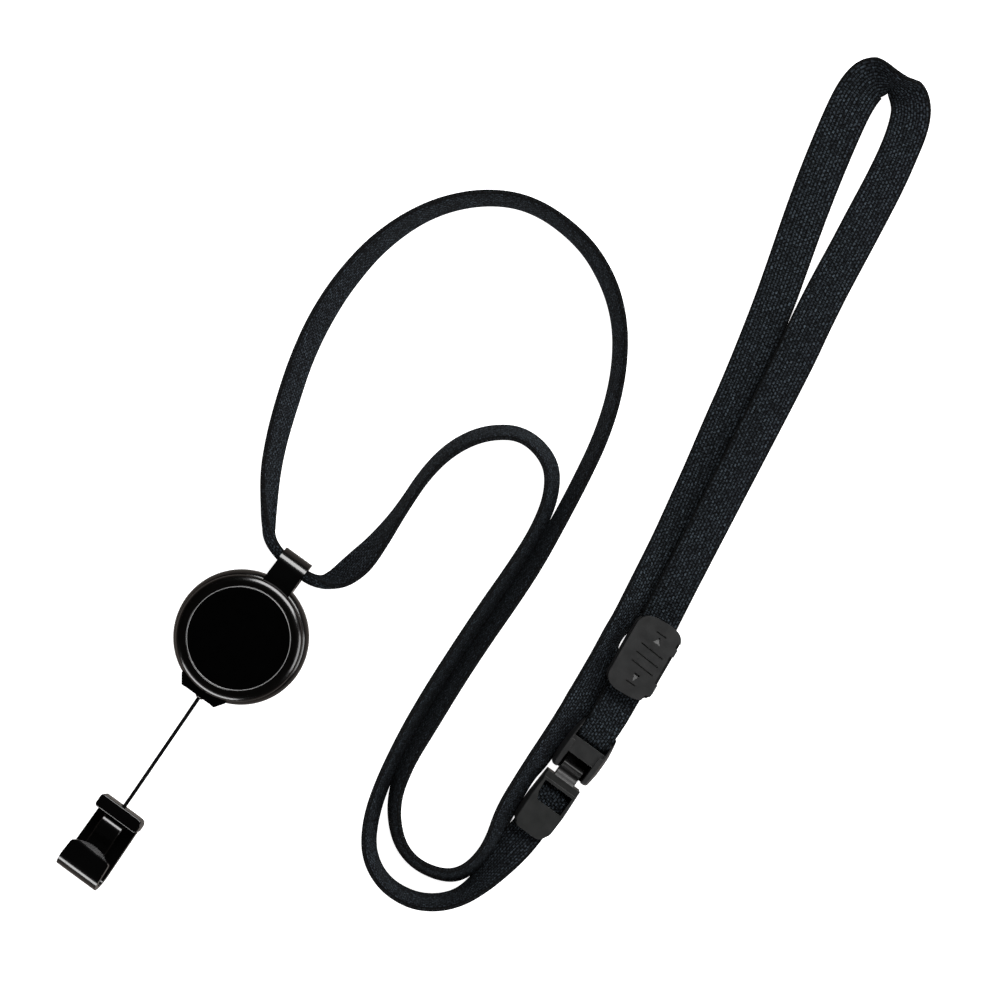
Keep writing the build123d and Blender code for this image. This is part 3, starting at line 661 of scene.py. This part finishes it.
def place(obj, matrix, material, slot, body, *nodes):
    """Takes a finished moulding to metres and to its place, dresses it, and hides the parts that it
    replaces.
    """
    obj.data.transform(Matrix.Scale(MM, 4) @ matrix)
    obj.data.set_sharp_from_angle(angle=math.radians(SHARP_ANGLE))
    normals = obj.modifiers.new("normals", "WEIGHTED_NORMAL")
    normals.keep_sharp = True
    settle(obj)
    dress(obj, material)
    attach(obj, body)
    if nodes:
        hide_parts(*nodes)
    return obj


def arc(y, z, radius, start, end, steps):
    """Points round (y, z) in a side view, from one angle to another, in degrees."""
    angles = [math.radians(start + (end - start) * i / steps) for i in range(steps + 1)]
    return [(y + radius * math.cos(a), z + radius * math.sin(a)) for a in angles]


HERE = Matrix.Identity(4)

# ---- reel --------------------------------------------------------------------------------------

SHELL_PROFILE = [
    (0, 0), (15.9, 0), (16.35, 0.12), (16.7, 0.4), (16.88, 0.85), (16.9, 1.3), (16.9, 2.5), (16.84, 3.1),
    (16.68, 3.7), (16.42, 4.2), (16.1, 4.6), (15.8, 4.85), (15.5, 5.0), (15.2, 5.0), (15.2, 1.4), (0, 1.4)]
COVER_PROFILE = [
    (0, 7.5), (13.5, 7.5), (13.5, 4.2), (15.15, 4.2), (15.15, 5.02), (15.62, 5.02), (15.68, 5.15),
    (15.7, 5.4), (15.7, 7.6), (15.68, 7.82), (15.6, 8.05), (15.45, 8.26), (15.2, 8.46), (14.9, 8.65),
    (14.55, 8.8), (14.2, 8.9), (13.85, 8.94), (13.5, 8.95), (13.1, 8.94), (12.96, 8.9), (12.9, 8.8),
    (12.9, 8.5), (0, 8.5)]
FACE_PROFILE = [(0, 8.5), (12.7, 8.5), (12.7, 8.8), (12.64, 8.84), (0, 8.84)]
# The thin ring that carries the painted highlight round the face's edge.
FACE_RIM_HIGHLIGHT_PROFILE = [(12.7, 8.52), (12.88, 8.52), (12.88, 8.86), (12.84, 8.9), (12.74, 8.9), (12.7, 8.86)]
SCREW_ANGLES = (150, 270, 30)
SCREW_CIRCLE = 14.3


def add_reel():
    shell = lathe("reel_shell", SHELL_PROFILE)
    pockets = []
    for angle in SCREW_ANGLES:
        x, y = SCREW_CIRCLE * math.cos(math.radians(angle)), SCREW_CIRCLE * math.sin(math.radians(angle))
        pockets.append(disc("pocket", 1.3, -1, 0.7, x, y))
    cut(shell, *pockets, along_y("hole", 0.8, -20, -13, 0, 4.0))
    shell.data.shade_smooth()
    place(shell, HERE, REEL_GLOSS, "reel_plastic", "reel", "rear_housing")
    cover = lathe("reel_cover", COVER_PROFILE)
    cover.data.shade_smooth()
    place(cover, HERE, REEL_GLOSS, "reel_plastic", "reel", "front_cover")
    # A pale ring round the face: a painted highlight at the face's edge.
    highlight_ring = lathe("reel_face_highlight_ring", FACE_RIM_HIGHLIGHT_PROFILE)
    highlight_ring.data.shade_smooth()
    place(highlight_ring, HERE, RIM_HIGHLIGHT, "face_label", "reel")
    face = lathe("reel_face", FACE_PROFILE)
    face.data.shade_smooth()
    place(face, HERE, FACE, "face_label", "reel", "face_disc")


def add_hanger():
    """The band that the strap runs through: up from the housing, over, and back underneath."""
    outside = moulded([(14.5, 0.5, 0), (24.8, 0.5, 1.3), (24.8, 7.2, 4.0), (14.5, 7.2, 0)], 14)
    band = side_prism("reel_hanger", outside, lambda y: 3.9 - 0.14 * math.sin(math.pi * (y - 14.5) / 10.3))
    tunnel = moulded([(17.8, 1.8, 0.6), (23.5, 1.8, 0.9), (23.5, 5.9, 2.7), (17.8, 5.9, 0.6)])
    cut(band, side_prism("tunnel", tunnel, 9), disc("low", 16.92, -1, 5.02), disc("high", 15.74, 4.9, 12))
    soften(band, 0.28)
    place(band, HERE, HOOK_GLOSS, "reel_plastic", "reel", "hanger_loop")


def add_boss():
    """The trapezium block that the cord runs out through, with a step along its outer edge."""
    plan = [(-6.6, -13.0), (-6.6, -15.4), (-4.9, -17.8), (4.9, -17.8), (6.6, -15.4), (6.6, -13.0)]
    boss = prism("reel_exit", plan, 1.4, 5.8)
    cut(boss, block("step", -4.0, 4.0, -18.8, -17.25, 5.2, 9), disc("low", 16.92, -1, 5.02),
        disc("high", 15.72, 4.9, 12), along_y("bore", 1.32, -22, -12, 0.4, 4.0))
    soften(boss, 0.16)
    place(boss, HERE, HOOK_GLOSS, "reel_plastic", "reel", "exit_boss")


def add_eyelet():
    """The smooth eyelet that the cord runs through, just proud of the block."""
    profile = [(0.5, 0), (1.25, 0), (1.25, 3.2), (1.1, 3.5), (0.8, 3.75), (0.6, 3.75), (0.5, 3.6)]
    eyelet = lathe("reel_eyelet", profile, 32)
    eyelet.data.shade_smooth()
    forward = Matrix.Translation((0.4, -14.5, 4.0)) @ Matrix.Rotation(math.radians(90), 4, "X")
    place(eyelet, forward, HOOK_GLOSS, "reel_plastic", "reel", "exit_bush", "cord_stop")


# ---- hook, about its own head, with its length along -Y ----------------------------------------

HOOK_PLACE = (Matrix.Translation((1.95, -50.95, 0.75)) @ Matrix.Rotation(math.radians(1.2), 4, "Z")
              @ Matrix.Rotation(math.radians(-7.0), 4, "Y"))
CURL_Y = -17.3
CURL_RADIUS = 3.7
HOOK_THICK = 1.3
LIP_CENTRE_Y = -21.25
LIP_RADIUS = 9.6
LIP_SHOULDER_Y = -15.2
GATE_TOP = [
    (-2.7, 3.1), (-3.3, 3.42), (-3.9, 3.86), (-4.5, 4.3), (-5.1, 4.68), (-5.7, 4.92), (-6.4, 5.06),
    (-7.2, 5.06), (-8.2, 4.94), (-9.4, 4.7), (-10.6, 4.5), (-11.8, 4.45), (-12.8, 4.58), (-13.7, 4.8),
    (-14.6, 5.1)]
GATE_THICK = 0.9
GATE_PIVOT = (-2.7, 3.0)


def add_hook_plate():
    """Back plate and round curl in one piece; the lip slopes to a bowed end."""
    top = 2 * CURL_RADIUS
    outline = [(-0.6, 0.0)] + arc(CURL_Y, CURL_RADIUS, CURL_RADIUS, 270, 90, 28)
    outline += [(-13.4, top - 0.03), (-11.4, top - 0.95), (-11.4, top - 1.7), (-13.4, top - 1.4)]
    outline += arc(CURL_Y, CURL_RADIUS, CURL_RADIUS - HOOK_THICK, 90, 270, 24) + [(-0.6, HOOK_THICK)]
    body = side_prism("hook_plate", outline, lambda y: 5.7 if y > -15.5 else 5.95)
    bow = [(x / 10, LIP_CENTRE_Y + math.sqrt(LIP_RADIUS ** 2 - x * x / 100)) for x in range(-56, 57, 8)]
    lip = [(-9, -9), (-9, LIP_SHOULDER_Y), (-6.0, LIP_SHOULDER_Y)] + bow
    lip += [(6.0, LIP_SHOULDER_Y), (9, LIP_SHOULDER_Y), (9, -9)]
    cut(body, prism("lip", lip, 3.0, 9.0))
    soften(body, 0.3)
    place(body, HOOK_PLACE, HOOK_GLOSS, "hook_plastic", "hook", "hook_body")


def add_crossbar():
    """The head that the cord is tied in, with a slot for the gate's eye."""
    plan = moulded([(-6.35, -3.6, 0.8), (6.35, -3.6, 0.9), (6.35, 0, 1.5), (-6.35, 0, 0.9)])
    head = prism("hook_crossbar", plan, HOOK_THICK, 5.6)
    cut(head, block("slot", -3.3, 3.3, -4.6, -1.3, 0.5, 4.6), along_y("hole", 0.7, -5, 1, -0.3, 3.1))
    soften(head, 0.38)
    place(head, HOOK_PLACE, HOOK_GLOSS, "hook_plastic", "hook", "hook_head")


def add_gate():
    """The sprung tongue, with an eye round its pin."""
    under = [(y, z - GATE_THICK) for y, z in reversed(GATE_TOP)]
    gate = side_prism("hook_spring_gate", GATE_TOP + under, 2.9)
    soften(gate, 0.16, angle=45)
    eye = side_prism("eye", arc(*GATE_PIVOT, 0.95, 0, 345, 23), 2.85)
    combine(gate, eye, "UNION")
    cut(gate, side_prism("bore", arc(*GATE_PIVOT, 0.5, 0, 345, 23), 4))
    place(gate, HOOK_PLACE, HOOK_GLOSS, "hook_plastic", "gate", "hook_tongue")


# ---- adjuster, about its own centre, with the strap along Y -------------------------------------

ADJUSTER_PLACE = Matrix.Translation((83.8, 54.9, 1.9)) @ Matrix.Rotation(math.radians(6.0), 4, "Z")
ADJUSTER_PLAN = [
    (6.25, -9.1, 3.3), (2.4, -10.15, 8), (-2.4, -10.15, 8), (-6.25, -9.1, 3.3),
    (-6.25, 9.1, 3.3), (-2.4, 10.15, 8), (2.4, 10.15, 8), (6.25, 9.1, 3.3)]
SHELL_TOP = 3.6
PLATE_LOW, PLATE_TOP = 3.62, 6.2
PLATE_LEFT = -5.85
GROOVES = (-2.4, 0.0, 2.4)
SLIT_HALF, SLIT_DEPTH = 0.24, 0.38


def slit(x_low, x_high, y_low, y_high):
    """A V-shaped cutter for a straight groove between two ends in the plate's top."""
    ends = [(x_low, y_low), (x_high, y_high)]
    section = [(-SLIT_HALF, PLATE_TOP + 0.02), (SLIT_HALF, PLATE_TOP + 0.02), (0, PLATE_TOP - SLIT_DEPTH)]
    vertices = [(x, y + dy, z) for x, y in ends for dy, z in section]
    return solid("slit", vertices, [(0, 1, 2), (5, 4, 3), (0, 3, 4, 1), (1, 4, 5, 2), (2, 5, 3, 0)])


def arrow(corners):
    """A three-cornered cutter, from (x, y, depth under the plate's top) corners."""
    floors = [(x, y, PLATE_TOP - depth) for x, y, depth in corners]
    tops = [(x, y, 9.0) for x, y, depth in corners]
    return solid("arrow", floors + tops, [(0, 2, 1), (3, 4, 5), (0, 1, 4, 3), (1, 2, 5, 4), (2, 0, 3, 5)])


def add_adjuster():
    """A lower shell that guides the strap, and a plate with grooves, arrows and edge notches."""
    shell = prism("adjuster_shell", moulded(ADJUSTER_PLAN), 0, SHELL_TOP)
    cut(shell, block("guide", -5.5, 5.5, -20, 20, 1.0, 9))
    soften(shell, 0.2, angle=60)
    # The shell takes the darker plastic as painted shade in the plate's notches and along the plate's left
    # edge.
    place(shell, ADJUSTER_PLACE, SHADE_PLASTIC, "buckle_plastic", "adjuster", "adjuster_body")
    plan = moulded([(max(x, PLATE_LEFT), y, radius) for x, y, radius in ADJUSTER_PLAN])
    plate = prism("adjuster_plate", plan, PLATE_LOW, PLATE_TOP)
    long_notch = moulded([(5.35, -4.3, 0.4), (9, -4.3, 0), (9, 3.6, 0), (5.35, 3.6, 0.4)])
    cut(plate, prism("long_notch", long_notch, 3, 9),
        prism("top_notch", [(5.45, 5.7), (9, 5.7), (9, 7.1), (5.45, 7.1)], 3, 9),
        prism("low_notch", [(4.3, -10.5), (9, -10.5), (9, -7.9), (4.9, -7.9)], 3, 9))
    soften(plate, 0.42, angle=60)
    marks = [slit(-2.5, 4.1, y + 0.5, y - 0.5) for y in GROOVES]
    marks += [slit(-0.6, 2.3, 7.15, 6.9), slit(-1.2, 1.6, -6.95, -7.2)]
    marks += [arrow([(-0.1, 4.6, 0.06), (1.95, 4.4, 0.06), (0.95, 6.3, 0.6)]),
              arrow([(-0.25, -4.25, 0.65), (0.35, -6.4, 0.06), (1.4, -4.4, 0.65)])]
    cut(plate, *marks)
    place(plate, ADJUSTER_PLACE, SATIN, "buckle_plastic", "adjuster", "adjuster_cover")


# ---- breakaway buckle ---------------------------------------------------------------------------

BUCKLE_PLACE = Matrix.Translation((BUCKLE_X, 0, 0))
BUCKLE_FLOOR = 1.3
PLUG_PLAN = [
    (-3.4, 2.8, 1.2), (3.6, 2.8, 2.2), (5.2, 5.6, 3), (5.35, 11.0, 14), (4.95, 18.6, 0.25),
    (-4.95, 18.6, 0.25), (-5.3, 11.0, 14), (-5.0, 4.4, 1.2)]
PLUG_TOP_PLAN = [
    (-3.0, 2.9, 1.2), (3.5, 2.9, 2.2), (5.05, 5.7, 3), (5.15, 11.0, 14), (4.8, 18.5, 0.25),
    (-4.5, 18.5, 0.25), (-4.6, 11.0, 14), (-4.3, 4.5, 1.2)]
PLUG_WINDOW = [(-3.9, 16.2), (-3.7, 13.0), (-2.7, 11.0), (4.3, 11.0), (4.3, 16.2)]
TONGUE_SIDE = [
    (18.0, 2.4), (27.0, 2.4), (27.0, 3.5), (26.6, 3.8), (23.5, 4.1), (23.1, 4.5), (22.8, 5.1),
    (22.4, 5.35), (22.0, 5.3), (21.5, 5.05), (20.9, 4.8), (20.3, 4.75), (19.8, 4.95), (19.3, 5.35),
    (18.8, 5.8), (18.3, 6.0), (18.0, 6.0)]


def tapered(name, low_plan, high_plan, low, shoulder, high):
    """A block with straight sides up to a shoulder, then drawn in to a smaller plan at the top."""
    count = len(low_plan)
    levels = ((low_plan, low), (low_plan, shoulder), (high_plan, high))
    vertices = [(x, y, z) for plan, z in levels for x, y in plan]
    faces = [tuple(reversed(range(count))), tuple(range(2 * count, 3 * count))]
    for base in (0, count):
        faces += [(base + i, base + (i + 1) % count, base + count + (i + 1) % count, base + count + i)
                  for i in range(count)]
    return solid(name, vertices, faces)


def both_sides(corners):
    """Mirrors the right-hand corners of a plan, listed from low y to high y."""
    return corners + [(-x, y, radius) for x, y, radius in reversed(corners)]


SOCKET_PLAN = both_sides([
    (5.3, 20.4, 0.9), (5.78, 24.5, 14), (5.72, 29.5, 14), (5.2, 32.6, 3), (4.8, 34.1, 0)])
SOCKET_TOP_PLAN = both_sides([
    (4.75, 20.8, 0.9), (4.95, 24.5, 14), (5.0, 29.5, 14), (4.85, 32.6, 3), (4.72, 34.0, 0)])


def add_socket():
    """The buckle's upper half, with two bowed rails and a bridge."""
    socket = tapered("buckle_upper", moulded(SOCKET_PLAN), moulded(SOCKET_TOP_PLAN), 0, 4.9, 7.2)
    cut(socket, block("bay", -3.7, 3.7, 19, 33.6, BUCKLE_FLOOR, 9),
        block("mouth", -4.65, 4.65, 28.4, 36, BUCKLE_FLOOR, 9))
    bridge = block("bridge", -4.9, 4.9, 25.3, 29.5, 5.7, 6.75)
    combine(socket, bridge, "UNION")
    soften(socket, 0.2, angle=50)
    place(socket, BUCKLE_PLACE, SATIN, "buckle_plastic", "lanyard", "buckle_socket")


def add_plug():
    """The buckle's lower half, with a rounded front plate."""
    plug = tapered("buckle_lower", moulded(PLUG_PLAN), moulded(PLUG_TOP_PLAN), 0, 5.2, 6.9)
    cut(plug, block("bay", -4.35, 4.35, 1.8, 16.2, BUCKLE_FLOOR, 5.6),
        prism("window", PLUG_WINDOW, BUCKLE_FLOOR, 9), block("step", -9, 9, 16.9, 20, 6.1, 9))
    soften(plug, 0.2, angle=50)
    place(plug, BUCKLE_PLACE, PLATE, "buckle_plastic", "plug", "buckle_plug")


def add_tongue():
    """The plug's tongue, its tip under the bridge."""
    tongue = side_prism("buckle_tongue", TONGUE_SIDE, 2.9)
    soften(tongue, 0.18, angle=45)
    # The tongue takes the darker plastic as painted shade in the hollow under the bridge.
    place(tongue, BUCKLE_PLACE, SHADE_PLASTIC, "buckle_plastic", "plug", "plug_tongue")


add_reel()
add_hanger()
add_boss()
add_eyelet()
add_hook_plate()
add_crossbar()
add_gate()
add_adjuster()
add_socket()
add_plug()
add_tongue()

CAD_LOOKS = {
    "spool": INNER, "cord_winding": YARN,
    "power_spring": STEEL, "case_screw_1": STEEL, "case_screw_2": STEEL, "case_screw_3": STEEL,
    "hook_pin": STEEL, "cord_knot": YARN, "adjuster_grip": RUBBER, "socket_bar": SATIN,
    "plug_bar": SATIN}

for node_name, material in CAD_LOOKS.items():
    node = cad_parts[node_name]
    for index in range(len(node.material_slots)):
        node.material_slots[index].material = material


# ---- floor and light, in metres ----------------------------------------------------------------

FLOOR_HALF = 1.5
LIGHT_AIM = (0.03, 0.065, 0)
WORLD_RISE = ((0.46, (0.34, 0.29, 0.26, 1)), (0.52, (0.16, 0.125, 0.11, 1)), (0.62, (0.05, 0.042, 0.04, 1)))


def add_floor():
    """A plain white table, bright enough to leave hardly any shadow and unseen in the gloss."""
    mesh = bpy.data.meshes.new("floor")
    corners = [(-FLOOR_HALF, -FLOOR_HALF), (FLOOR_HALF, -FLOOR_HALF), (FLOOR_HALF, FLOOR_HALF),
               (-FLOOR_HALF, FLOOR_HALF)]
    mesh.from_pydata([(x, y, TABLE_TOP * MM) for x, y in corners], [], [(0, 1, 2, 3)])
    floor = link("floor", mesh)
    material, nodes, links, shader = new_material("white_table")
    shader.inputs["Base Color"].default_value = grey(0.6)
    shader.inputs["Roughness"].default_value = 1.0
    shader.inputs["Specular IOR Level"].default_value = 0.0
    shader.inputs["Emission Color"].default_value = grey(1.0)
    shader.inputs["Emission Strength"].default_value = 1.0
    mesh.materials.append(material)
    floor.visible_glossy = False


def add_world():
    """Studio surround: a dark room, and the pale table's light from below the horizon."""
    world = bpy.data.worlds.new("studio")
    world.use_nodes = True
    nodes, links = world.node_tree.nodes, world.node_tree.links
    where = nodes.new("ShaderNodeTexCoord")
    parts = nodes.new("ShaderNodeSeparateXYZ")
    height = nodes.new("ShaderNodeMapRange")
    height.inputs["From Min"].default_value = -1.0
    ramp = nodes.new("ShaderNodeValToRGB")
    ramp.color_ramp.elements[0].position = 0.0
    ramp.color_ramp.elements[0].color = (0.32, 0.29, 0.27, 1)
    ramp.color_ramp.elements[1].position = 0.75
    ramp.color_ramp.elements[1].color = (0.0, 0.0, 0.0, 1)
    for position, color in WORLD_RISE:
        stop = ramp.color_ramp.elements.new(position)
        stop.color = color
    links.new(where.outputs["Generated"], parts.inputs["Vector"])
    links.new(parts.outputs["Z"], height.inputs["Value"])
    links.new(height.outputs["Result"], ramp.inputs["Fac"])
    links.new(ramp.outputs["Color"], nodes["Background"].inputs["Color"])
    nodes["Background"].inputs["Strength"].default_value = 1.0
    bpy.context.scene.world = world


def soft_box(name, position, width, height, watts):
    """An area light that faces the middle of the lanyard."""
    data = bpy.data.lights.new(name, "AREA")
    data.shape = "RECTANGLE"
    data.size = width
    data.size_y = height
    data.energy = watts
    light = bpy.data.objects.new(name, data)
    light.location = position
    aim = Vector(LIGHT_AIM) - Vector(position)
    light.rotation_euler = aim.to_track_quat("-Z", "Y").to_euler()
    bpy.context.scene.collection.objects.link(light)


add_floor()
add_world()
soft_box("far_box", (0.05, 0.95, 0.75), 1.1, 0.55, 26)
soft_box("near_box", (0.0, -1.0, 0.4), 1.1, 0.35, 14)
soft_box("side_box", (0.95, 0.3, 0.5), 0.7, 0.5, 8)
bpy.context.scene.view_settings.view_transform = "Standard"
